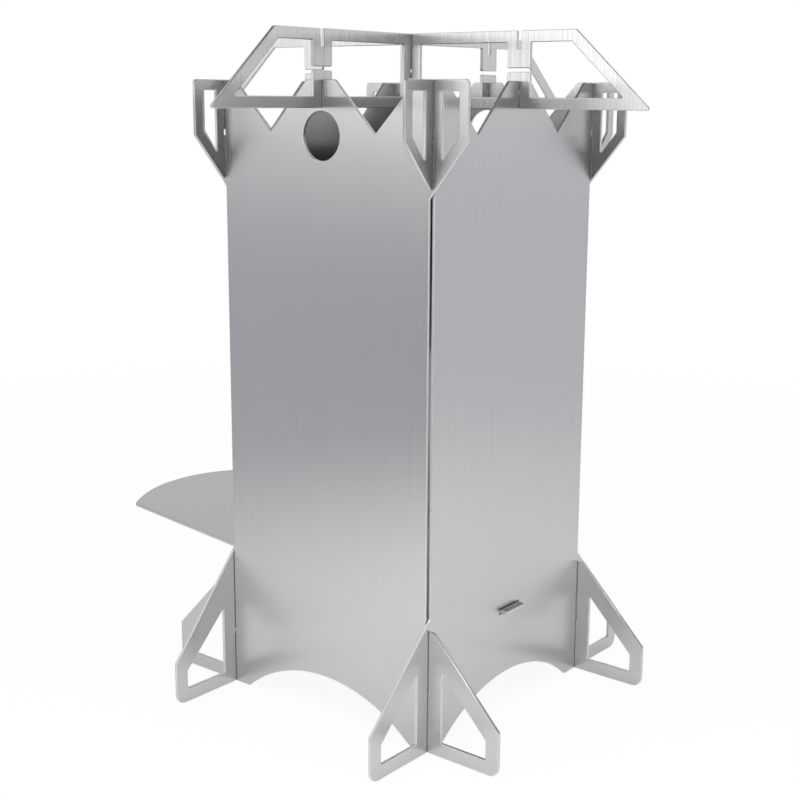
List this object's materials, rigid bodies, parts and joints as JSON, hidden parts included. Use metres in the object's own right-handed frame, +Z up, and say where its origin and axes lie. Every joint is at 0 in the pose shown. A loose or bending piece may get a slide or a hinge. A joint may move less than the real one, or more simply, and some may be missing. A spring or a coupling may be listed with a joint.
{
  "type": "twig stove",
  "caption": "Flat-pack twig stove of slotted stainless sheets: notched walls crossed like a crate on splayed feet, a crossed pot stand on top and a sloping fuel shelf through the side.",
  "frame": {"origin": "on the ground under the middle of the firebox, where the middle planes of the walls cross", "axes": "+Z up; +X from the feed wall, where the fuel shelf comes in, towards the wall that holds its tab; Y across the shelf, from one wall with a carrying hole to the other"},
  "size_m": [0.2413, 0.2062, 0.2585],
  "materials": {
    "stainless_sheet": "satin brushed stainless sheet with bright cut edges"
  },
  "bodies": {
    "hole_walls": {"front_hole_wall": "stainless_sheet", "back_hole_wall": "stainless_sheet"},
    "slot_wall": {"shelf_slot_wall": "stainless_sheet"},
    "feed_side": {"feed_wall": "stainless_sheet"},
    "lower_plate": {"lower_pot_plate": "stainless_sheet"},
    "upper_plate": {"upper_pot_plate": "stainless_sheet"},
    "shelf": {"fuel_shelf": "stainless_sheet"}
  },
  "joints": [
    {"name": "slot_wall_lift", "type": "slide", "parent": "hole_walls", "child": "slot_wall", "axis": [0, 0, 1], "range_m": [0, 0.06]},
    {"name": "feed_wall_lift", "type": "slide", "parent": "hole_walls", "child": "feed_side", "axis": [0, 0, 1], "range_m": [0, 0.06]},
    {"name": "lower_plate_lift", "type": "slide", "parent": "slot_wall", "child": "lower_plate", "axis": [0, 0, 1], "range_m": [0, 0.03]},
    {"name": "upper_plate_lift", "type": "slide", "parent": "lower_plate", "child": "upper_plate", "axis": [0, 0, 1], "range_m": [0, 0.035]},
    {"name": "shelf_slide", "type": "slide", "parent": "feed_side", "child": "shelf", "axis": [-0.996, 0, 0.0889], "range_m": [0, 0.12]}
  ],
  "couplings": [
    {"joint": "feed_wall_lift", "follows": "slot_wall_lift", "ratio": 1}
  ]
}
